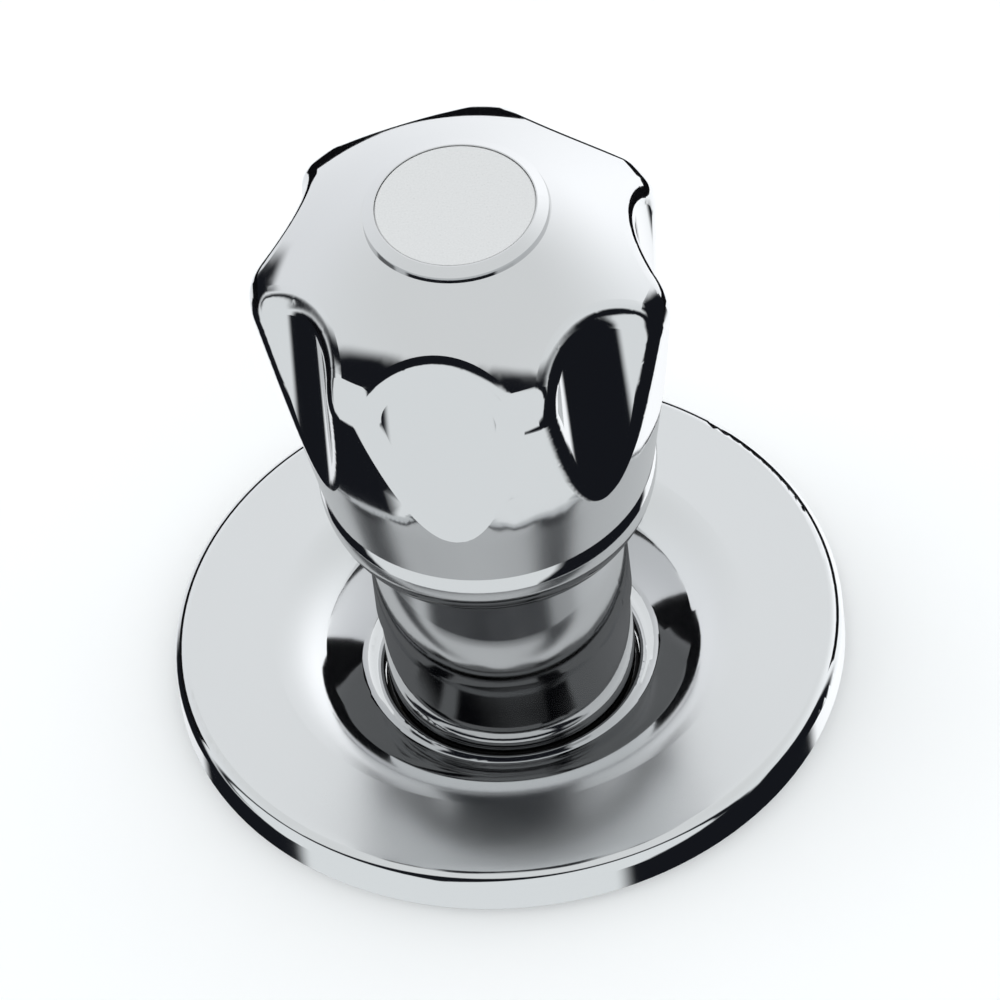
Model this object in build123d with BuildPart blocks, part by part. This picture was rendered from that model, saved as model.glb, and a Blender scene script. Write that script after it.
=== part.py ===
# Concealed stop valve: a brass globe valve that is built into a wall, with a
# chromed sleeve, dished wall flange and seven-lobed knob in front of the wall.
# Frame: origin at the middle of the finished wall face, under the flange.
# +Z points out of the wall along the spindle, +X along the pipe to the outlet.
# All sizes are in millimetres.

from build123d import *
import math
import os

os.makedirs("parts", exist_ok=True)

# Clearances
running_gap = 0.05          # radial gap where a piece turns or slides in another
thread_gap = 0.02           # radial gap at a screwed joint
seal_gap = 0.03             # O-ring to the bore that it rubs in
closed_gap = 0.05           # rubber washer to its seat when the valve is shut
groove_ratio = 1.4          # width of an O-ring's groove over the ring's thickness

# Valve body: the brass casting inside the wall
pipe_axis_z = -33.0
body_length = 64.0
port_thread_radius = 9.3    # G 1/2 female thread, at its crest
port_thread_depth = 13.0
port_hex_across = 27.0
port_hex_length = 12.0
port_chamfer = 0.8
pipe_neck_radius = 12.0
waterway_radius = 8.0
barrel_radius = 15.6
barrel_top_z = -14.0        # shoulder that the base sleeve stands on
barrel_dome_z = -38.0       # where the rounded bottom starts
barrel_bottom_z = -47.0
chamber_radius = 11.5
chamber_top_z = -20.0
chamber_top_bevel = 1.0
lower_chamber_radius = 8.4
lower_chamber_depth = 9.0
lower_chamber_bevel = 3.0
seat_z = -30.0              # top of the raised seat lip
seat_lip_radius = 7.6
seat_lip_height = 1.5
seat_bore_radius = 6.0
partition_thickness = 3.0
neck_radius = 13.4
neck_top_z = -6.0

# Bonnet: the headwork that screws into the body
bonnet_thread_radius = 10.4
bonnet_washer_thickness = 1.0
bonnet_washer_radius = 12.6
bonnet_flange_height = 1.6
bonnet_hex_across = 22.0
bonnet_hex_height = 6.4
bonnet_barrel_radius = 8.0
bonnet_top_z = 26.0
bonnet_top_chamfer = 0.6

# Spindle: turns, but doesn't rise
spindle_radius = 4.95
spindle_thread_radius = 4.0
spindle_bottom_z = -18.0
spindle_end_chamfer = 0.6
collar_radius = 6.25
collar_bottom_z = -2.4
collar_top_z = 0.0
thrust_washer_thickness = 0.85
seal_section = 1.0          # spindle O-ring, thickness of its round section
seal_heights = (9.0, 15.0)
circlip_thickness = 1.0
circlip_washer_thickness = 0.6
circlip_groove_radius = 4.2
circlip_radius = 6.4
circlip_opening = 3.4
circlip_washer_margin = 0.6
spline_bottom_z = 32.5
spline_shoulder_height = 1.0
spline_tip_radius = 4.0
spline_tooth_depth = 0.4
spline_teeth = 20
spindle_top_z = 56.8
screw_hole_depth = 14.0

# Washer carrier: hexagonal jumper that the spindle's thread lifts
carrier_hex_across = 13.0
carrier_top_z = -8.0
carrier_disc_radius = 8.2
carrier_disc_thickness = 2.5
carrier_disc_chamfer = 0.5
carrier_bore_bottom_z = -23.5
seat_washer_thickness = 2.95
stud_radius = 2.45
stud_length = 6.0
washer_nut_across = 8.0
washer_nut_height = 2.8
open_lift = 4.5             # how far the carrier rises when fully open
lift_clearance = 1.0        # carrier's disc to the bonnet when fully open

# Base sleeve, cover sleeve and their O-ring
sleeve_radius = 14.9
sleeve_bore_radius = 13.5
spigot_radius = 14.2
sleeve_shoulder_z = 10.8    # where the cover sleeve starts
spigot_top_z = 22.0
sleeve_seal_section = 1.2
sleeve_seal_depth = 0.9     # how deep the O-ring lies in its groove
sleeve_seal_z = -2.6
cover_radius = 15.3
cover_top_z = 31.0
cover_web_bottom_z = 22.6
cover_web_thickness = 3.0
cover_edge_chamfer = 0.5

# Wall flange: one pressed plate with a dished middle
flange_radius = 40.0
flange_height = 5.0
flange_thickness = 0.9
flange_rim_radius = 1.6     # outside radius of the turned-down rim
dish_radius = 24.6          # where the dish starts
dish_bottom_radius = 17.3
dish_depth = 5.6
dish_shoulder_radius = 10.0
dish_corner_radius = 2.2
flange_hole_radius = 15.25
flange_collar_length = 3.4
flange_collar_bend = 1.0    # inside radius where the collar turns down
dish_blend = 3.0            # from the dish's edge to where the plate's back is flat
wall_seal_share = 5 / 9     # foam ring's width over that flat land's width

# Knob: a hollow casting, crowned on top, tapered, with seven scooped flutes
knob_bottom_z = 27.6
knob_bottom_radius = 17.3
knob_belly_radius = 19.5
knob_belly_z = 31.2
knob_flank_radius = 19.93   # at the foot of the straight flank
knob_flank_z = 36.0
knob_flank_slope = 0.17     # how much the radius grows for each millimetre up
knob_edge_radius = 6.0
crown_radius = 34.5
index_seat_z = 78.1
index_seat_radius = 11.1
flute_count = 7
flute_radius = 12.0
flute_low = (21.4, 44.5)    # radius and height where the flute's floor runs out
flute_high = (20.6, 67.0)   # radius and height of the floor near the top
flute_edge_radius = 3.5
flute_phase = 0.0           # angle of the first flute from +X
knob_mouth_radius = 15.7
knob_cavity_top_z = 68.0
knob_cavity_corner = 3.0
boss_top_radius = 12.3
boss_bottom_radius = 9.2
boss_bottom_z = 34.0
well_radius = 9.9
web_top_z = 62.0
web_bottom_z = 57.0

# Nylon insert, handle screw and index
insert_across = 12.0
screw_radius = 1.95
screw_hole_clearance = 0.3
screw_length = 16.0
screw_head_radius = 3.9
screw_head_height = 2.6
screw_head_round = 1.0
screw_washer_radius = 4.4
screw_washer_thickness = 0.9
screw_slot_width = 0.9
screw_slot_depth = 1.3
ring_radius = 10.86
ring_wall_height = 0.6
ring_top_z = 79.3
ring_inner_radius = 9.46
ring_spigot_length = 4.0
ring_lip = 0.15             # flat top of the ring beside the disc
ring_ledge = 0.8            # ledge that the disc rests on
disc_radius = 9.42
disc_thickness = 1.9
disc_chamfer = 0.15
disc_top_z = 79.25


def write(piece, name):
    """Label a finished piece and write it as one STEP file."""
    piece.part.label = name
    export_step(piece.part, f"parts/{name}.step")


# Heights that follow from the driving sizes
bonnet_flange_z = neck_top_z + bonnet_washer_thickness
bonnet_hex_z = bonnet_flange_z + bonnet_flange_height
bonnet_barrel_z = bonnet_hex_z + bonnet_hex_height
thrust_face_z = collar_top_z + closed_gap + thrust_washer_thickness
bonnet_bore_radius = spindle_radius + running_gap
carrier_disc_bottom_z = seat_z + closed_gap + seat_washer_thickness
carrier_disc_top_z = carrier_disc_bottom_z + carrier_disc_thickness
bonnet_bottom_z = carrier_disc_top_z + open_lift + lift_clearance
partition_top_z = seat_z - seat_lip_height
partition_bottom_z = partition_top_z - partition_thickness
dome_depth = barrel_dome_z - barrel_bottom_z
half_length = body_length / 2
waterway_bottom_z = pipe_axis_z - waterway_radius
waterway_top_z = pipe_axis_z + waterway_radius
lower_chamber_bottom_z = partition_bottom_z - lower_chamber_depth
circlip_z = bonnet_top_z + running_gap + circlip_washer_thickness

# Valve body
# Half-round waterways lead under the seat on the inlet side and over it on the outlet side.
with BuildPart() as valve_body:
    with BuildSketch(Plane.XZ):
        with BuildLine():
            Line((0, neck_top_z), (neck_radius, neck_top_z))
            Line((neck_radius, neck_top_z), (neck_radius, barrel_top_z))
            Line((neck_radius, barrel_top_z), (barrel_radius, barrel_top_z))
            Line((barrel_radius, barrel_top_z), (barrel_radius, barrel_dome_z))
            RadiusArc(
                (barrel_radius, barrel_dome_z),
                (0, barrel_bottom_z),
                (barrel_radius**2 + dome_depth**2) / (2 * dome_depth),
            )
            Line((0, barrel_bottom_z), (0, neck_top_z))
        make_face()
    revolve(axis=Axis.Z)
    with BuildSketch(Plane.YZ.offset(-half_length)):
        with Locations((0, pipe_axis_z)):
            Circle(pipe_neck_radius)
    extrude(amount=body_length)
    for end in (-1, 1):
        with BuildSketch(Plane.YZ.offset(end * half_length)):
            with Locations((0, pipe_axis_z)):
                RegularPolygon(port_hex_across / 2, 6, major_radius=False)
        extrude(amount=-end * port_hex_length)
    outer_edges = valve_body.edges().filter_by(Plane.YZ).group_by(Axis.X)
    chamfer(outer_edges[0] + outer_edges[-1], port_chamfer)
    # waterways and threaded ports; the inlet's waterway is at end -1
    for end, low_z, high_z in (
        (-1, waterway_bottom_z, partition_bottom_z),
        (1, partition_top_z, waterway_top_z),
    ):
        with BuildSketch(Plane.YZ):
            with Locations((0, pipe_axis_z)):
                Circle(waterway_radius)
            with Locations((0, (low_z + high_z) / 2)):
                Rectangle(2 * waterway_radius, high_z - low_z, mode=Mode.INTERSECT)
        extrude(amount=end * half_length, mode=Mode.SUBTRACT)
        with BuildSketch(Plane.YZ.offset(end * half_length)):
            with Locations((0, pipe_axis_z)):
                Circle(port_thread_radius)
        extrude(amount=-end * port_thread_depth, mode=Mode.SUBTRACT)
    # chambers, seat and the bore for the bonnet
    with BuildSketch(Plane.XZ):
        with BuildLine():
            Polyline(
                (0, lower_chamber_bottom_z),
                (lower_chamber_radius - lower_chamber_bevel, lower_chamber_bottom_z),
                (lower_chamber_radius, lower_chamber_bottom_z + lower_chamber_bevel),
                (lower_chamber_radius, partition_bottom_z),
                (seat_bore_radius, partition_bottom_z),
                (seat_bore_radius, seat_z),
                (seat_lip_radius, seat_z),
                (seat_lip_radius, partition_top_z),
                (chamber_radius, partition_top_z),
                (chamber_radius, chamber_top_z - chamber_top_bevel),
                (bonnet_thread_radius + thread_gap, chamber_top_z),
                (bonnet_thread_radius + thread_gap, neck_top_z),
                (0, neck_top_z),
                close=True,
            )
        make_face()
    revolve(axis=Axis.Z, mode=Mode.SUBTRACT)
write(valve_body, "valve_body")

# Bonnet and its fibre washer
with BuildPart() as bonnet_washer:
    with BuildSketch(Plane.XY.offset(neck_top_z)):
        Circle(bonnet_washer_radius)
        Circle(bonnet_thread_radius + thread_gap, mode=Mode.SUBTRACT)
    extrude(amount=bonnet_washer_thickness)
write(bonnet_washer, "bonnet_washer")

with BuildPart() as bonnet:
    with BuildSketch(Plane.XY.offset(bonnet_bottom_z)):
        Circle(bonnet_thread_radius)
    extrude(amount=bonnet_flange_z - bonnet_bottom_z)
    with BuildSketch(Plane.XY.offset(bonnet_flange_z)):
        Circle(bonnet_washer_radius)
    extrude(amount=bonnet_flange_height)
    with BuildSketch(Plane.XY.offset(bonnet_hex_z)):
        RegularPolygon(bonnet_hex_across / 2, 6, major_radius=False)
    extrude(amount=bonnet_hex_height)
    with BuildSketch(Plane.XY.offset(bonnet_barrel_z)):
        Circle(bonnet_barrel_radius)
    extrude(amount=bonnet_top_z - bonnet_barrel_z)
    chamfer(bonnet.faces().sort_by(Axis.Z)[-1].edges(), bonnet_top_chamfer)
    # hexagonal guide for the washer carrier
    with BuildSketch(Plane.XY.offset(bonnet_bottom_z)):
        RegularPolygon(carrier_hex_across / 2 + running_gap, 6, major_radius=False)
    extrude(amount=collar_bottom_z - running_gap - bonnet_bottom_z, mode=Mode.SUBTRACT)
    # room for the spindle's collar, then the spindle's bore
    with BuildSketch(Plane.XY.offset(collar_bottom_z - running_gap)):
        Circle(collar_radius + running_gap)
    extrude(amount=thrust_face_z - collar_bottom_z + running_gap, mode=Mode.SUBTRACT)
    with BuildSketch(Plane.XY.offset(thrust_face_z)):
        Circle(bonnet_bore_radius)
    extrude(amount=bonnet_top_z - thrust_face_z, mode=Mode.SUBTRACT)
write(bonnet, "bonnet")

with BuildPart() as thrust_washer:
    with BuildSketch(Plane.XY.offset(thrust_face_z - thrust_washer_thickness)):
        Circle(collar_radius)
        Circle(bonnet_bore_radius, mode=Mode.SUBTRACT)
    extrude(amount=thrust_washer_thickness)
write(thrust_washer, "thrust_washer")


def splined_outline(tip_radius, tooth_depth, teeth):
    """Draw a round section with small straight-sided teeth in the current sketch."""
    tooth_width = math.pi * tip_radius / teeth
    Circle(tip_radius - tooth_depth)
    with PolarLocations(tip_radius - tooth_depth, teeth):
        Rectangle(2 * tooth_depth, tooth_width)


# Spindle
with BuildPart() as spindle:
    seal_groove = spindle_radius - seal_section + seal_gap / 2
    groove_width = groove_ratio * seal_section
    with BuildSketch(Plane.XZ):
        with BuildLine():
            outline = [
                (0, spindle_bottom_z),
                (spindle_thread_radius - spindle_end_chamfer, spindle_bottom_z),
                (spindle_thread_radius, spindle_bottom_z + spindle_end_chamfer),
                (spindle_thread_radius, collar_bottom_z),
                (collar_radius, collar_bottom_z),
                (collar_radius, collar_top_z),
                (spindle_radius, collar_top_z),
            ]
            for height in seal_heights:
                outline += [
                    (spindle_radius, height - groove_width / 2),
                    (seal_groove, height - groove_width / 2),
                    (seal_groove, height + groove_width / 2),
                    (spindle_radius, height + groove_width / 2),
                ]
            outline += [
                (spindle_radius, circlip_z),
                (circlip_groove_radius, circlip_z),
                (circlip_groove_radius, circlip_z + circlip_thickness),
                (spindle_radius, circlip_z + circlip_thickness),
                (spindle_radius, spline_bottom_z - spline_shoulder_height),
                (spline_tip_radius, spline_bottom_z),
                (0, spline_bottom_z),
            ]
            Polyline(*outline, close=True)
        make_face()
    revolve(axis=Axis.Z)
    with BuildSketch(Plane.XY.offset(spline_bottom_z)):
        splined_outline(spline_tip_radius, spline_tooth_depth, spline_teeth)
    extrude(amount=spindle_top_z - spline_bottom_z)
    with BuildSketch(Plane.XY.offset(spindle_top_z)):
        Circle(screw_radius + thread_gap)
    extrude(amount=-screw_hole_depth, mode=Mode.SUBTRACT)
write(spindle, "spindle")

for name, height in zip(("spindle_seal_lower", "spindle_seal_upper"), seal_heights):
    with BuildPart() as spindle_seal:
        with Locations((0, 0, height)):
            Torus(spindle_radius - seal_section / 2 + seal_gap / 2, (seal_section - seal_gap) / 2)
    write(spindle_seal, name)

with BuildPart() as circlip_washer:
    with BuildSketch(Plane.XY.offset(bonnet_top_z + running_gap)):
        Circle(circlip_radius + circlip_washer_margin)
        Circle(spindle_radius + thread_gap, mode=Mode.SUBTRACT)
    extrude(amount=circlip_washer_thickness)
write(circlip_washer, "circlip_washer")

with BuildPart() as spindle_circlip:
    with BuildSketch(Plane.XY.offset(circlip_z)):
        Circle(circlip_radius)
        Circle(circlip_groove_radius + thread_gap, mode=Mode.SUBTRACT)
        with Locations((circlip_radius, 0)):
            Rectangle(circlip_radius, circlip_opening, mode=Mode.SUBTRACT)
    extrude(amount=circlip_thickness)
write(spindle_circlip, "spindle_circlip")

# Washer carrier with its rubber washer and nut
with BuildPart() as washer_carrier:
    with BuildSketch(Plane.XY.offset(carrier_disc_bottom_z)):
        Circle(carrier_disc_radius)
    extrude(amount=carrier_disc_thickness)
    chamfer(washer_carrier.edges().sort_by(Axis.Z)[-1], carrier_disc_chamfer)
    with BuildSketch(Plane.XY.offset(carrier_disc_top_z)):
        RegularPolygon(carrier_hex_across / 2, 6, major_radius=False)
    extrude(amount=carrier_top_z - carrier_disc_top_z)
    with BuildSketch(Plane.XY.offset(carrier_disc_bottom_z)):
        Circle(stud_radius)
    extrude(amount=-stud_length)
    with BuildSketch(Plane.XY.offset(carrier_top_z)):
        Circle(spindle_thread_radius + running_gap)
    extrude(amount=carrier_bore_bottom_z - carrier_top_z, mode=Mode.SUBTRACT)
write(washer_carrier, "washer_carrier")

with BuildPart() as seat_washer:
    with BuildSketch(Plane.XY.offset(carrier_disc_bottom_z)):
        Circle(carrier_disc_radius)
        Circle(stud_radius + thread_gap, mode=Mode.SUBTRACT)
    extrude(amount=-seat_washer_thickness)
write(seat_washer, "seat_washer")

with BuildPart() as washer_nut:
    with BuildSketch(Plane.XY.offset(carrier_disc_bottom_z - seat_washer_thickness)):
        RegularPolygon(washer_nut_across / 2, 6, major_radius=False)
        Circle(stud_radius + thread_gap, mode=Mode.SUBTRACT)
    extrude(amount=-washer_nut_height)
write(washer_nut, "washer_nut")

# Base sleeve, with the groove of the O-ring that grips the flange
with BuildPart() as base_sleeve:
    sleeve_groove = sleeve_radius - sleeve_seal_depth
    groove_half_width = groove_ratio * sleeve_seal_section / 2
    with BuildSketch(Plane.XZ):
        with BuildLine():
            Polyline(
                (sleeve_bore_radius, barrel_top_z),
                (sleeve_radius, barrel_top_z),
                (sleeve_radius, sleeve_seal_z - groove_half_width),
                (sleeve_groove, sleeve_seal_z - groove_half_width),
                (sleeve_groove, sleeve_seal_z + groove_half_width),
                (sleeve_radius, sleeve_seal_z + groove_half_width),
                (sleeve_radius, sleeve_shoulder_z),
                (spigot_radius, sleeve_shoulder_z),
                (spigot_radius, spigot_top_z),
                (sleeve_bore_radius, spigot_top_z),
                close=True,
            )
        make_face()
    revolve(axis=Axis.Z)
write(base_sleeve, "base_sleeve")

with BuildPart() as sleeve_seal:
    with Locations((0, 0, sleeve_seal_z)):
        Torus(sleeve_groove + sleeve_seal_section / 2, sleeve_seal_section / 2)
write(sleeve_seal, "sleeve_seal")

# Cover sleeve, screwed on the bonnet by its web
with BuildPart() as cover_sleeve:
    with BuildSketch(Plane.XZ):
        with BuildLine():
            Polyline(
                (spigot_radius + running_gap, sleeve_shoulder_z),
                (cover_radius - cover_edge_chamfer, sleeve_shoulder_z),
                (cover_radius, sleeve_shoulder_z + cover_edge_chamfer),
                (cover_radius, cover_top_z - cover_edge_chamfer),
                (cover_radius - cover_edge_chamfer, cover_top_z),
                (spigot_radius + running_gap, cover_top_z),
                (spigot_radius + running_gap, cover_web_bottom_z + cover_web_thickness),
                (bonnet_barrel_radius + thread_gap, cover_web_bottom_z + cover_web_thickness),
                (bonnet_barrel_radius + thread_gap, cover_web_bottom_z),
                (spigot_radius + running_gap, cover_web_bottom_z),
                close=True,
            )
        make_face()
    revolve(axis=Axis.Z)
write(cover_sleeve, "cover_sleeve")

# Wall flange: the visible face is drawn and the plate's thickness lies behind it
with BuildPart() as wall_flange:
    dish_bottom_z = flange_height - dish_depth
    with BuildSketch(Plane.XZ):
        with BuildLine() as flange_section:
            FilletPolyline(
                (flange_radius, 0),
                (flange_radius, flange_height),
                (dish_radius, flange_height),
                (dish_bottom_radius, dish_bottom_z),
                (flange_hole_radius, dish_bottom_z),
                (flange_hole_radius, dish_bottom_z - flange_collar_length),
                radius=(
                    flange_rim_radius,
                    dish_shoulder_radius,
                    dish_corner_radius,
                    flange_collar_bend,
                ),
            )
            offset(amount=flange_thickness, side=Side.LEFT)
        make_face()
    revolve(axis=Axis.Z)
write(wall_flange, "wall_flange")

with BuildPart() as wall_seal:
    land_inner_radius = dish_radius + dish_blend
    land_outer_radius = flange_radius - flange_rim_radius
    wall_seal_middle = (land_inner_radius + land_outer_radius) / 2
    wall_seal_half_width = wall_seal_share * (land_outer_radius - land_inner_radius) / 2
    with BuildSketch(Plane.XY):
        Circle(wall_seal_middle + wall_seal_half_width)
        Circle(wall_seal_middle - wall_seal_half_width, mode=Mode.SUBTRACT)
    extrude(amount=flange_height - flange_thickness)
write(wall_seal, "wall_seal")

# Knob
# The crown circle and the flank line are carried on until they meet, and that corner is rounded.
crown_centre_z = index_seat_z - math.sqrt(crown_radius**2 - index_seat_radius**2)
flank_at_zero = knob_flank_radius - knob_flank_slope * knob_flank_z
quad_a = 1 + knob_flank_slope**2
quad_b = 2 * (knob_flank_slope * flank_at_zero - crown_centre_z)
quad_c = flank_at_zero**2 + crown_centre_z**2 - crown_radius**2
corner_z = (-quad_b + math.sqrt(quad_b**2 - 4 * quad_a * quad_c)) / (2 * quad_a)
corner_radius = flank_at_zero + knob_flank_slope * corner_z
crown_start = math.asin(index_seat_radius / crown_radius)
crown_end = math.asin(corner_radius / crown_radius)
crown_middle = (crown_start + crown_end) / 2

flute_tilt = math.atan2(flute_low[0] - flute_high[0], flute_high[1] - flute_low[1])
flute_axis = (
    (flute_low[0] + flute_high[0]) / 2 + flute_radius * math.cos(flute_tilt),
    (flute_low[1] + flute_high[1]) / 2 + flute_radius * math.sin(flute_tilt),
)
with BuildPart() as flute_cutter:
    with Locations(Location((flute_axis[0], 0, flute_axis[1]), (0, -math.degrees(flute_tilt), 0))):
        Cylinder(flute_radius, 2 * (index_seat_z - knob_bottom_z))

# The section is revolved from a lobe, so that no flute is cut by the seam.
seam_angle = flute_phase + 180 / flute_count
with BuildPart() as knob:
    with BuildSketch(Plane.XZ.rotated((0, 0, seam_angle))) as knob_section:
        with BuildLine():
            Line((0, index_seat_z), (index_seat_radius, index_seat_z))
            ThreePointArc(
                (index_seat_radius, index_seat_z),
                (
                    crown_radius * math.sin(crown_middle),
                    crown_centre_z + crown_radius * math.cos(crown_middle),
                ),
                (corner_radius, corner_z),
            )
            Line((corner_radius, corner_z), (knob_flank_radius, knob_flank_z))
            ThreePointArc(
                (knob_flank_radius, knob_flank_z),
                (knob_belly_radius, knob_belly_z),
                (knob_bottom_radius, knob_bottom_z),
            )
            Line((knob_bottom_radius, knob_bottom_z), (0, knob_bottom_z))
            Line((0, knob_bottom_z), (0, index_seat_z))
        make_face()
        corner = Vector(corner_radius, corner_z)
        fillet(knob_section.vertices().sort_by_distance(corner)[0], knob_edge_radius)
    revolve(axis=Axis.Z)
    with PolarLocations(0, flute_count, start_angle=flute_phase):
        add(flute_cutter.part, mode=Mode.SUBTRACT)
    flute_faces = knob.faces().filter_by(GeomType.CYLINDER)
    fillet(flute_faces.edges(), flute_edge_radius)
    # hollow underside around the boss
    with BuildSketch(Plane.XZ) as cavity_section:
        Polygon(
            (knob_mouth_radius, knob_bottom_z),
            (knob_mouth_radius, knob_cavity_top_z),
            (boss_top_radius, knob_cavity_top_z),
            (boss_top_radius, web_bottom_z),
            (boss_bottom_radius, boss_bottom_z),
            (0, boss_bottom_z),
            (0, knob_bottom_z),
            align=None,
        )
        cavity_top = Vector(knob_mouth_radius, knob_cavity_top_z)
        fillet(cavity_section.vertices().sort_by_distance(cavity_top)[0], knob_cavity_corner)
    revolve(axis=Axis.Z, mode=Mode.SUBTRACT)
    # well for the index and the screw, hole in the web, hexagonal socket for the insert
    with BuildSketch(Plane.XY.offset(web_top_z)):
        Circle(well_radius)
    extrude(amount=index_seat_z - web_top_z, mode=Mode.SUBTRACT)
    with BuildSketch(Plane.XY.offset(web_bottom_z)):
        Circle(screw_radius + screw_hole_clearance)
    extrude(amount=web_top_z - web_bottom_z, mode=Mode.SUBTRACT)
    with BuildSketch(Plane.XY.offset(boss_bottom_z)):
        RegularPolygon(insert_across / 2 + thread_gap, 6, major_radius=False)
    extrude(amount=web_bottom_z - boss_bottom_z, mode=Mode.SUBTRACT)
write(knob, "knob")

# Nylon insert, broached to the spindle's spline
with BuildPart() as handle_insert:
    with BuildSketch(Plane.XY.offset(boss_bottom_z)):
        RegularPolygon(insert_across / 2, 6, major_radius=False)
    extrude(amount=web_bottom_z - boss_bottom_z)
    with BuildSketch(Plane.XY.offset(boss_bottom_z)):
        splined_outline(spline_tip_radius + thread_gap, spline_tooth_depth, spline_teeth)
    extrude(amount=web_bottom_z - boss_bottom_z, mode=Mode.SUBTRACT)
write(handle_insert, "handle_insert")

# Handle screw and its washer at the bottom of the well
with BuildPart() as screw_washer:
    with BuildSketch(Plane.XY.offset(web_top_z)):
        Circle(screw_washer_radius)
        Circle(screw_radius + thread_gap, mode=Mode.SUBTRACT)
    extrude(amount=screw_washer_thickness)
write(screw_washer, "screw_washer")

with BuildPart() as handle_screw:
    head_z = web_top_z + screw_washer_thickness
    with BuildSketch(Plane.XY.offset(head_z)):
        Circle(screw_head_radius)
    extrude(amount=screw_head_height)
    fillet(handle_screw.edges().sort_by(Axis.Z)[-1], screw_head_round)
    with BuildSketch(Plane.XY.offset(head_z)):
        Circle(screw_radius)
    extrude(amount=-screw_length)
    with BuildSketch(Plane.XY.offset(head_z + screw_head_height)):
        Rectangle(screw_head_radius, screw_slot_width)
        Rectangle(screw_slot_width, screw_head_radius)
    extrude(amount=-screw_slot_depth, mode=Mode.SUBTRACT)
write(handle_screw, "handle_screw")

# Index ring and the plain index disc
with BuildPart() as index_ring:
    disc_bottom_z = disc_top_z - disc_thickness
    with BuildSketch(Plane.XZ):
        with BuildLine():
            Polyline(
                (ring_inner_radius, disc_bottom_z),
                (ring_inner_radius, ring_top_z),
                (ring_inner_radius + ring_lip, ring_top_z),
                (ring_radius, index_seat_z + ring_wall_height),
                (ring_radius, index_seat_z),
                (well_radius - thread_gap, index_seat_z),
                (well_radius - thread_gap, index_seat_z - ring_spigot_length),
                (ring_inner_radius - ring_ledge, index_seat_z - ring_spigot_length),
                (ring_inner_radius - ring_ledge, disc_bottom_z),
                close=True,
            )
        make_face()
    revolve(axis=Axis.Z)
write(index_ring, "index_ring")

with BuildPart() as index_disc:
    with BuildSketch(Plane.XY.offset(disc_bottom_z)):
        Circle(disc_radius)
    extrude(amount=disc_thickness)
    chamfer(index_disc.edges().sort_by(Axis.Z)[-1], disc_chamfer)
write(index_disc, "index_disc")
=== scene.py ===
# Concealed stop valve: chromed trim in front of a wall that lies flat, as in the photograph.
# The stage floor stands for the finished wall face, so the brass body is below it.
# All sizes are in metres, in the part's own frame: +Z out of the wall, camera side -Y.

import math

import bmesh
import bpy
from mathutils import Matrix, Vector

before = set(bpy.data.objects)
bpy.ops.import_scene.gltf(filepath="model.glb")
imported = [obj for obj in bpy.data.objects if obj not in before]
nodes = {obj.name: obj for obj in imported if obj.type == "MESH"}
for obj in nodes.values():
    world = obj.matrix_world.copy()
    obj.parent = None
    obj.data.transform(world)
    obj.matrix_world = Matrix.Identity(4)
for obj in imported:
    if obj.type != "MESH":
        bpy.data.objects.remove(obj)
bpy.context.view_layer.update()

MM = 0.001

# Camera, fitted to the plate's rim, the knob's index and the spindle's line in the photograph
CAMERA_TARGET = Vector((0, 0, 5 * MM))      # middle of the plate's top face
CAMERA_DISTANCE = 1.8
CAMERA_ELEVATION = 48.97
CAMERA_ROLL = -7.21
CAMERA_YAW = 0.03
CAMERA_PITCH = -0.47
CAMERA_LENS = 543.3
CAMERA_SENSOR = 36.0

# Light tent, in degrees: azimuth from the camera side towards +X, elevation from the horizon.
# An arch is an ellipse: azimuth and elevation of its middle, half its width, its height.
CLOTH_GAP = (-18, 5, 86, 57)                # dark gap between the tent's roof and its front
FRONT_ARCHES = ((-61, 4, 36, 33), (11, 8, 42, 37))      # white front sheets inside that gap
# A side lies between two leaning edges, each with (elevation, azimuth) at its foot and at its head.
FRONT_EDGES = (((-45, -87), (0, -96)), ((-45, 33), (0, 54)))
RIGHT_SIDE = (((-45, 33), (0, 64)), ((-45, 118), (22, 102)))
RIGHT_SIDE_HEIGHT = (-61, 20)
LEFT_SIDE = (((-45, -142), (0, -138)), ((-45, -90), (0, -109)))
LEFT_SIDE_HEIGHT = (-80, 10)

# What the chrome mirrors by way of other chrome is dimmer, with dark gaps of its own:
# azimuth and elevation ranges.
SECOND_GAPS = (((-74, 40), (32, 57)), ((-124, -92), (46, 78)), ((34, 66), (50, 80)))
SECOND_SHARE = 0.74
THIRD_SHARE = 0.22                          # of that, for what three or more chromed faces pass on

# The tent's soft edges
ARCH_EDGE = 0.05                            # an arch's, as a share of its size
SIDE_EDGE = 4                               # half the width of a side's or a gap's
FOOT_EDGE = 3                               # the same at the head and foot of a side
HORIZON_FADE = (5, -1)                      # where the sheet under the horizon takes over
BACK_FADE = (70, 150)                       # azimuths between which the front turns into the back
LEFT_TO_RIGHT = (-0.7, 0.9)                 # how far to the left and to the right the back's two shades lie
ROOF_FADE = (20, 66)                        # elevations between which the walls turn into the roof

# The tent's colours
GAP_COLOUR = (0.008, 0.009, 0.012)
SHEET_COLOUR = (0.74, 0.77, 0.78)
ROOF_COLOUR = (0.69, 0.71, 0.715)
LEFT_BACK_COLOUR = (0.78, 0.80, 0.82)
RIGHT_BACK_COLOUR = (1.16, 1.18, 1.20)
BACKDROP_COLOUR = (1, 1, 1)                 # what the camera itself sees behind the floor
DIFFUSE_LIFT = 0.7                          # matt things get that much more light than the chrome mirrors

# Black flag bent round the back of the valve, which only the chrome sees
FLAG_RADIUS = 120 * MM
FLAG_AZIMUTHS = (100, 260)
FLAG_HEIGHTS = (8 * MM, 45 * MM)
FLAG_STEPS = 24
FLAG_COLOUR = (0.005, 0.005, 0.006)

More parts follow.
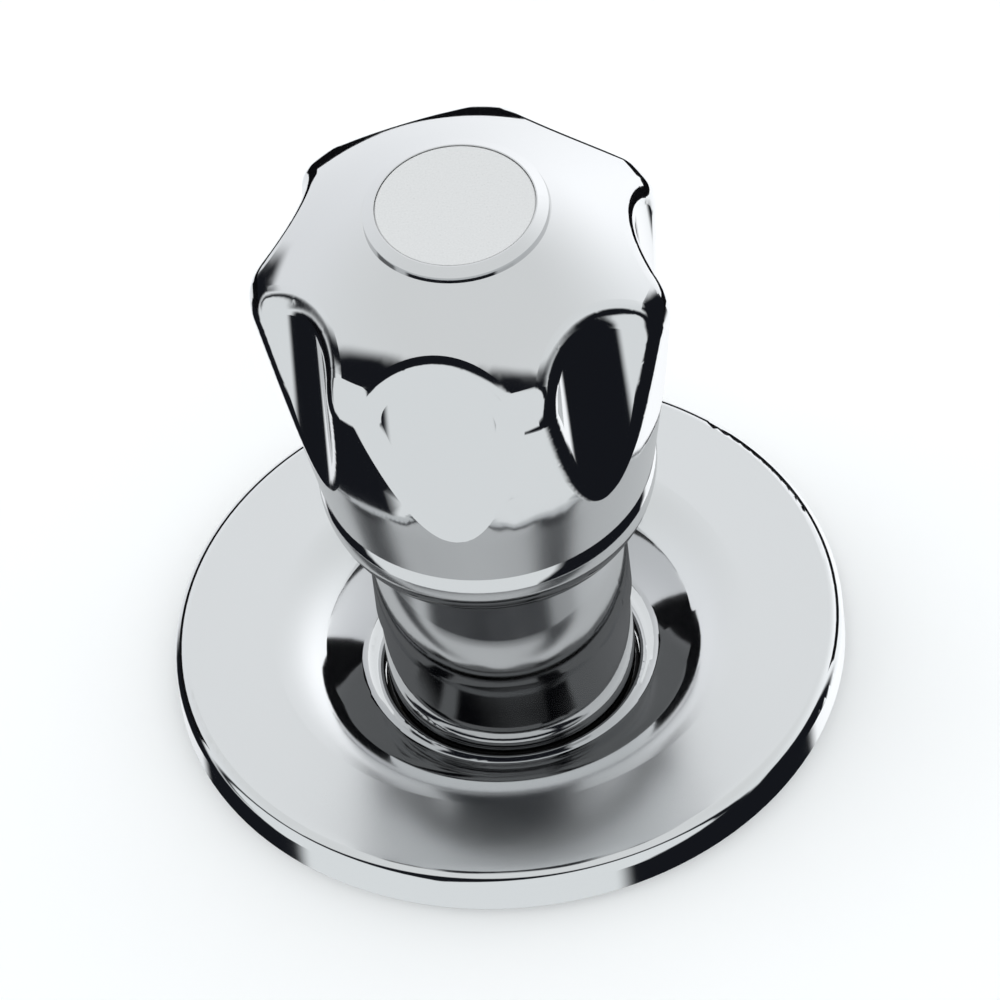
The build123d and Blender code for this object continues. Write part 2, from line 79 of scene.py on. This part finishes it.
# Lamp above the valve and a little to its left, and the point that it looks at
LAMP_PLACE = (-0.7, 0.2, 1.6)
LAMP_TARGET = (0, 0, 0.03)
LAMP_SIZE = 0.9
LAMP_POWER = 3.0

# The plate's flat top, between the dish and the rim
PLATE_FLAT = (24.5 * MM, 38.2 * MM)
PLATE_FLAT_EDGE = 1.5 * MM

FLOOR_RADIUS = 4.0
FLOOR_HOLE_RADIUS = 38 * MM
FLOOR_Z = -0.02 * MM
FLOOR_STEPS = 96
FLOOR_COLOUR = (0.92, 0.92, 0.92)

NOISE_RANGE = (0.3, 0.7)                    # where most of a noise texture's values lie


def smooth_step(tree, value, start, end):
    """A node that goes smoothly from 0 at start to 1 at end."""
    step = tree.nodes.new("ShaderNodeMapRange")
    step.interpolation_type = "SMOOTHSTEP"
    step.inputs["From Min"].default_value = start
    step.inputs["From Max"].default_value = end
    tree.links.new(value, step.inputs["Value"])
    return step.outputs["Result"]


def maths(tree, operation, first, second=None):
    """A maths node of one or two inputs, each a socket or a number."""
    node = tree.nodes.new("ShaderNodeMath")
    node.operation = operation
    for socket, value in zip(node.inputs, (first, second)):
        if value is None:
            continue
        if isinstance(value, (int, float)):
            socket.default_value = value
        else:
            tree.links.new(value, socket)
    return node.outputs["Value"]


def window(tree, value, low, high, edge):
    """1 between low and high, 0 outside, with a soft edge."""
    rise = smooth_step(tree, value, low - edge, low + edge)
    fall = smooth_step(tree, value, high + edge, high - edge)
    return maths(tree, "MULTIPLY", rise, fall)


def mix_colour(tree, factor, first, second):
    """Mix two colours, each a socket or a tuple."""
    node = tree.nodes.new("ShaderNodeMix")
    node.data_type = "RGBA"
    if isinstance(factor, (int, float)):
        node.inputs["Factor"].default_value = factor
    else:
        tree.links.new(factor, node.inputs["Factor"])
    for socket, value in ((node.inputs[6], first), (node.inputs[7], second)):
        if isinstance(value, tuple):
            socket.default_value = (*value, 1)
        else:
            tree.links.new(value, socket)
    return node.outputs[2]


def make_camera():
    """The camera at the photograph's angle."""
    camera = bpy.data.cameras.new("camera")
    camera.lens = CAMERA_LENS
    camera.sensor_width = CAMERA_SENSOR
    camera_object = bpy.data.objects.new("camera", camera)
    bpy.context.scene.collection.objects.link(camera_object)
    elevation = math.radians(CAMERA_ELEVATION)
    back = Vector((0, -math.cos(elevation), math.sin(elevation)))
    turns = (
        (90 - CAMERA_ELEVATION, "X"),
        (CAMERA_ROLL, "Z"),
        (CAMERA_YAW, "Y"),
        (-CAMERA_PITCH, "X"),
    )
    matrix = Matrix.Translation(CAMERA_TARGET + CAMERA_DISTANCE * back)
    for angle, axis in turns:
        matrix = matrix @ Matrix.Rotation(math.radians(angle), 4, axis)
    camera_object.matrix_world = matrix
    bpy.context.scene.camera = camera_object


def arch(tree, azimuth, elevation, ellipse):
    """1 inside an ellipse of directions, 0 outside, with a soft edge."""
    middle_azimuth, middle_elevation, half_width, height = ellipse
    sides = ((azimuth, middle_azimuth, half_width), (elevation, middle_elevation, height))
    squares = []
    for value, middle, size in sides:
        share = maths(tree, "DIVIDE", maths(tree, "SUBTRACT", value, middle), size)
        squares.append(maths(tree, "MULTIPLY", share, share))
    reach = maths(tree, "SQRT", maths(tree, "ADD", *squares))
    return smooth_step(tree, reach, 1 + ARCH_EDGE, 1 - ARCH_EDGE)


def leaning_edge(tree, elevation, foot, head):
    """The azimuth of an edge that leans, at each elevation."""
    slope = (head[1] - foot[1]) / (head[0] - foot[0])
    return maths(tree, "ADD", maths(tree, "MULTIPLY", elevation, slope), foot[1] - slope * foot[0])


def between(tree, azimuth, elevation, edges):
    """1 between two leaning edges, 0 outside, with a soft edge."""
    left, right = (leaning_edge(tree, elevation, *edge) for edge in edges)
    rise = smooth_step(tree, maths(tree, "SUBTRACT", azimuth, left), -SIDE_EDGE, SIDE_EDGE)
    fall = smooth_step(tree, maths(tree, "SUBTRACT", azimuth, right), SIDE_EDGE, -SIDE_EDGE)
    return maths(tree, "MULTIPLY", rise, fall)


def make_tent():
    """A white light tent with the dark gaps that the chrome mirrors."""
    world = bpy.data.worlds.new("tent")
    world.use_nodes = True
    bpy.context.scene.world = world
    tree = world.node_tree
    tree.nodes.clear()
    direction = tree.nodes.new("ShaderNodeTexCoord").outputs["Generated"]
    split = tree.nodes.new("ShaderNodeSeparateXYZ")
    tree.links.new(direction, split.inputs["Vector"])
    x, y, z = split.outputs
    azimuth = maths(tree, "DEGREES", maths(tree, "ARCTAN2", x, maths(tree, "MULTIPLY", y, -1.0)))
    elevation = maths(tree, "DEGREES", maths(tree, "ARCSINE", z))
    behind = smooth_step(tree, maths(tree, "ABSOLUTE", azimuth), *BACK_FADE)
    back = mix_colour(tree, smooth_step(tree, x, *LEFT_TO_RIGHT), LEFT_BACK_COLOUR, RIGHT_BACK_COLOUR)
    low = mix_colour(tree, behind, SHEET_COLOUR, back)
    cloth = mix_colour(tree, smooth_step(tree, elevation, *ROOF_FADE), low, ROOF_COLOUR)
    seen = mix_colour(tree, arch(tree, azimuth, elevation, CLOTH_GAP), cloth, GAP_COLOUR)
    for ellipse in FRONT_ARCHES:
        seen = mix_colour(tree, arch(tree, azimuth, elevation, ellipse), seen, SHEET_COLOUR)
    under = smooth_step(tree, elevation, *HORIZON_FADE)
    front = maths(tree, "MULTIPLY", under, between(tree, azimuth, elevation, FRONT_EDGES))
    seen = mix_colour(tree, front, seen, SHEET_COLOUR)
    for edges, height in ((RIGHT_SIDE, RIGHT_SIDE_HEIGHT), (LEFT_SIDE, LEFT_SIDE_HEIGHT)):
        dark = maths(
            tree,
            "MULTIPLY",
            window(tree, elevation, *height, FOOT_EDGE),
            between(tree, azimuth, elevation, edges),
        )
        seen = mix_colour(tree, dark, seen, GAP_COLOUR)
    path = tree.nodes.new("ShaderNodeLightPath")
    dim = mix_colour(tree, 1 - SECOND_SHARE, cloth, (0.0, 0.0, 0.0))
    for azimuths, elevations in SECOND_GAPS:
        gap = maths(
            tree,
            "MULTIPLY",
            window(tree, azimuth, *azimuths, SIDE_EDGE),
            window(tree, elevation, *elevations, SIDE_EDGE),
        )
        dim = mix_colour(tree, gap, dim, GAP_COLOUR)
    deep = mix_colour(tree, 1 - THIRD_SHARE, dim, (0.0, 0.0, 0.0))
    for bounces, view in ((2, dim), (3, deep)):
        reached = maths(tree, "GREATER_THAN", path.outputs["Glossy Depth"], bounces - 0.5)
        seen = mix_colour(tree, reached, seen, view)
    tent = tree.nodes.new("ShaderNodeBackground")
    tree.links.new(seen, tent.inputs["Color"])
    lift = maths(tree, "MULTIPLY", path.outputs["Is Diffuse Ray"], DIFFUSE_LIFT)
    tree.links.new(maths(tree, "ADD", lift, 1.0), tent.inputs["Strength"])
    backdrop = tree.nodes.new("ShaderNodeBackground")
    backdrop.inputs["Color"].default_value = (*BACKDROP_COLOUR, 1)
    choice = tree.nodes.new("ShaderNodeMixShader")
    tree.links.new(path.outputs["Is Camera Ray"], choice.inputs["Fac"])
    tree.links.new(tent.outputs["Background"], choice.inputs[1])
    tree.links.new(backdrop.outputs["Background"], choice.inputs[2])
    output = tree.nodes.new("ShaderNodeOutputWorld")
    tree.links.new(choice.outputs["Shader"], output.inputs["Surface"])


def make_lamp():
    """A square soft lamp that looks at the valve."""
    light = bpy.data.lights.new("key", "AREA")
    light.size = LAMP_SIZE
    light.energy = LAMP_POWER
    light_object = bpy.data.objects.new("key", light)
    light_object.location = LAMP_PLACE
    towards = Vector(LAMP_TARGET) - Vector(LAMP_PLACE)
    light_object.rotation_euler = towards.to_track_quat("-Z", "Y").to_euler()
    light_object.visible_glossy = False     # the tent, not the lamp, is what the chrome mirrors
    bpy.context.scene.collection.objects.link(light_object)


def plain_material(name, colour, roughness, specular):
    """A material of one colour, for what stands around the valve."""
    material = bpy.data.materials.new(name)
    material.use_nodes = True
    surface = material.node_tree.nodes["Principled BSDF"]
    surface.inputs["Base Color"].default_value = (*colour, 1)
    surface.inputs["Roughness"].default_value = roughness
    surface.inputs["Specular IOR Level"].default_value = specular
    return material


def make_floor():
    """The finished wall face, laid flat, with the hole that the valve stands out of."""
    mesh = bpy.data.meshes.new("floor")
    bm = bmesh.new()
    rings = []
    for radius in (FLOOR_HOLE_RADIUS, FLOOR_RADIUS):
        ring = []
        for step in range(FLOOR_STEPS):
            angle = 2 * math.pi * step / FLOOR_STEPS
            ring.append(bm.verts.new((radius * math.cos(angle), radius * math.sin(angle), FLOOR_Z)))
        rings.append(ring)
    for step in range(FLOOR_STEPS):
        after = (step + 1) % FLOOR_STEPS
        bm.faces.new((rings[0][step], rings[1][step], rings[1][after], rings[0][after]))
    bm.to_mesh(mesh)
    bm.free()
    floor = bpy.data.objects.new("floor", mesh)
    bpy.context.scene.collection.objects.link(floor)
    mesh.materials.append(plain_material("floor", FLOOR_COLOUR, 0.7, 0.1))
    floor.visible_glossy = False            # the chrome mirrors the tent below the horizon too


def make_flag():
    """A bent black card behind the valve, seen in the chrome alone."""
    mesh = bpy.data.meshes.new("back_flag")
    bm = bmesh.new()
    start, end = FLAG_AZIMUTHS
    columns = []
    for step in range(FLAG_STEPS + 1):
        angle = math.radians(start + step / FLAG_STEPS * (end - start))
        x, y = FLAG_RADIUS * math.sin(angle), -FLAG_RADIUS * math.cos(angle)
        columns.append([bm.verts.new((x, y, height)) for height in FLAG_HEIGHTS])
    for before, after in zip(columns, columns[1:]):
        bm.faces.new((before[0], after[0], after[1], before[1]))
    bm.to_mesh(mesh)
    bm.free()
    flag = bpy.data.objects.new("back_flag", mesh)
    bpy.context.scene.collection.objects.link(flag)
    mesh.materials.append(plain_material("back_flag", FLAG_COLOUR, 0.5, 0.0))
    flag.visible_camera = False
    flag.visible_diffuse = False
    flag.visible_shadow = False


class Finish:
    """A procedural material, built up node by node."""

    def __init__(self, name, colour, metallic=0.0, roughness=0.5):
        self.material = bpy.data.materials.new(name)
        self.material.use_nodes = True
        self.material.diffuse_color = (*colour, 1)
        self.tree = self.material.node_tree
        self.surface = self.tree.nodes["Principled BSDF"]
        self.surface.inputs["Base Color"].default_value = (*colour, 1)
        self.surface.inputs["Metallic"].default_value = metallic
        self.surface.inputs["Roughness"].default_value = roughness
        self.place = self.tree.nodes.new("ShaderNodeTexCoord").outputs["Object"]
        self.height = None

    def noise(self, per_metre, detail=3.0, stretch=(1, 1, 1), roughness=0.5):
        """Noise of so many cells a metre, as a value about 0.5."""
        mapping = self.tree.nodes.new("ShaderNodeMapping")
        mapping.inputs["Scale"].default_value = stretch
        self.tree.links.new(self.place, mapping.inputs["Vector"])
        noise = self.tree.nodes.new("ShaderNodeTexNoise")
        noise.inputs["Scale"].default_value = per_metre
        noise.inputs["Detail"].default_value = detail
        noise.inputs["Roughness"].default_value = roughness
        self.tree.links.new(mapping.outputs["Vector"], noise.inputs["Vector"])
        return noise.outputs["Fac"]

    def radius(self):
        """Distance from the spindle's axis, in metres."""
        split = self.tree.nodes.new("ShaderNodeSeparateXYZ")
        self.tree.links.new(self.place, split.inputs["Vector"])
        x = maths(self.tree, "POWER", split.outputs[0], 2.0)
        y = maths(self.tree, "POWER", split.outputs[1], 2.0)
        return maths(self.tree, "SQRT", maths(self.tree, "ADD", x, y))

    def spread(self, value, low, high):
        """Spread a value about 0.5 over a range."""
        node = self.tree.nodes.new("ShaderNodeMapRange")
        node.inputs["From Min"].default_value = NOISE_RANGE[0]
        node.inputs["From Max"].default_value = NOISE_RANGE[1]
        node.inputs["To Min"].default_value = low
        node.inputs["To Max"].default_value = high
        self.tree.links.new(value, node.inputs["Value"])
        return node.outputs["Result"]

    def feed(self, value, socket):
        """Send a value to a socket of the surface."""
        self.tree.links.new(value, self.surface.inputs[socket])

    def bump(self, value, depth, strength=1.0):
        """Add a height to the surface, of a depth in metres."""
        node = self.tree.nodes.new("ShaderNodeBump")
        node.inputs["Distance"].default_value = depth
        node.inputs["Strength"].default_value = strength
        self.tree.links.new(value, node.inputs["Height"])
        if self.height is not None:
            self.tree.links.new(self.height, node.inputs["Normal"])
        self.height = node.outputs["Normal"]
        self.feed(self.height, "Normal")


def chrome(name, roughness):
    """Polished chrome plate: faint ripples from the buffing and a slightly uneven shine."""
    finish = Finish(name, (0.86, 0.865, 0.875), metallic=1.0)
    smudge = finish.noise(60, detail=4)
    finish.feed(finish.spread(smudge, *roughness), "Roughness")
    finish.bump(finish.noise(220, detail=2), 2e-6)
    finish.bump(finish.noise(9000, detail=2, stretch=(1, 1, 0.15)), 5e-8)
    return finish


def make_knob_chrome():
    """The knob's polish, with a faint haze from hands."""
    return chrome("knob_chrome", (0.03, 0.07)).material


def make_sleeve_chrome():
    """Turned sleeves: the buffing leaves faint lines round them."""
    finish = chrome("sleeve_chrome", (0.025, 0.06))
    finish.bump(finish.noise(400, detail=2, stretch=(1, 1, 0.12)), 4e-6)
    finish.bump(finish.noise(3000, detail=2, stretch=(0.02, 0.02, 1)), 1.5e-7)
    return finish.material


def make_plate_chrome():
    """The pressed plate: satin on its flat top, brighter on the rim and down the dish."""
    finish = Finish("plate_chrome", (0.88, 0.89, 0.90), metallic=1.0)
    radius = finish.radius()
    flat = window(finish.tree, radius, *PLATE_FLAT, PLATE_FLAT_EDGE)
    satin = finish.spread(finish.noise(70, detail=4), 0.19, 0.23)
    bright = finish.spread(finish.noise(90, detail=3), 0.04, 0.08)
    blend = finish.tree.nodes.new("ShaderNodeMix")
    finish.tree.links.new(flat, blend.inputs["Factor"])
    finish.tree.links.new(bright, blend.inputs["A"])
    finish.tree.links.new(satin, blend.inputs["B"])
    finish.feed(blend.outputs["Result"], "Roughness")
    finish.bump(finish.noise(180, detail=2), 3e-6)
    return finish.material


def make_brass():
    """Cast brass with a sandy skin, a little tarnished in random patches."""
    finish = Finish("brass_cast", (0.72, 0.52, 0.24), metallic=1.0)
    grain = finish.noise(1400, detail=5, roughness=0.6)
    tarnish = finish.noise(120, detail=4)
    colour = mix_colour(finish.tree, finish.spread(tarnish, 0, 1), (0.55, 0.36, 0.15), (0.8, 0.6, 0.3))
    finish.feed(colour, "Base Color")
    finish.feed(finish.spread(grain, 0.3, 0.5), "Roughness")
    finish.bump(grain, 6e-5)
    return finish.material


def make_turned_brass():
    """Machined brass, with the fine rings that a lathe leaves."""
    finish = Finish("brass_turned", (0.86, 0.66, 0.34), metallic=1.0)
    rings = finish.noise(2500, detail=2, stretch=(0.03, 0.03, 1))
    finish.feed(finish.spread(rings, 0.14, 0.26), "Roughness")
    finish.bump(rings, 3e-6)
    return finish.material


def make_steel():
    """Bright stainless steel with fine brushing."""
    finish = Finish("stainless", (0.62, 0.63, 0.65), metallic=1.0)
    grain = finish.noise(4000, detail=3, stretch=(1, 0.08, 1))
    finish.feed(finish.spread(grain, 0.18, 0.32), "Roughness")
    finish.bump(grain, 2e-6)
    return finish.material


def make_dull(name, dark, light, roughness, per_metre, depth):
    """Rubber, foam, fibre and nylon: two shades of one colour and a fine grain."""
    finish = Finish(name, light, roughness=roughness)
    grain = finish.noise(per_metre, detail=4, roughness=0.6)
    finish.feed(mix_colour(finish.tree, finish.spread(grain, 0, 1), dark, light), "Base Color")
    finish.feed(finish.spread(grain, roughness - 0.06, roughness + 0.06), "Roughness")
    finish.bump(grain, depth)
    return finish.material


def dress(material, *names):
    """Give CAD nodes a material."""
    for name in names:
        mesh = nodes[name].data
        if mesh.materials:
            for index in range(len(mesh.materials)):
                nodes[name].material_slots[index].material = material
        else:
            mesh.materials.append(material)


make_camera()
make_tent()
make_floor()
make_flag()
make_lamp()
bpy.context.scene.view_settings.view_transform = "Standard"

dress(make_knob_chrome(), "knob", "index_ring")
dress(make_sleeve_chrome(), "cover_sleeve", "base_sleeve")
dress(make_plate_chrome(), "wall_flange")
dress(make_brass(), "valve_body")
dress(make_turned_brass(), "bonnet", "spindle", "washer_carrier", "washer_nut")
dress(make_steel(), "handle_screw", "screw_washer", "spindle_circlip", "circlip_washer")
dress(
    make_dull("black_rubber", (0.012, 0.012, 0.012), (0.03, 0.03, 0.03), 0.55, 2500, 4e-6),
    "seat_washer", "spindle_seal_lower", "spindle_seal_upper", "sleeve_seal",
)
dress(make_dull("dark_foam", (0.03, 0.03, 0.032), (0.09, 0.09, 0.09), 0.85, 1800, 1e-4), "wall_seal")
dress(
    make_dull("natural_nylon", (0.7, 0.68, 0.6), (0.82, 0.8, 0.74), 0.45, 1500, 3e-6),
    "handle_insert", "thrust_washer",
)
dress(make_dull("red_fibre", (0.3, 0.05, 0.03), (0.5, 0.1, 0.06), 0.7, 2600, 1e-5), "bonnet_washer")
dress(make_dull("index_plastic", (0.60, 0.60, 0.60), (0.66, 0.66, 0.66), 0.32, 4000, 1e-6), "index_disc")
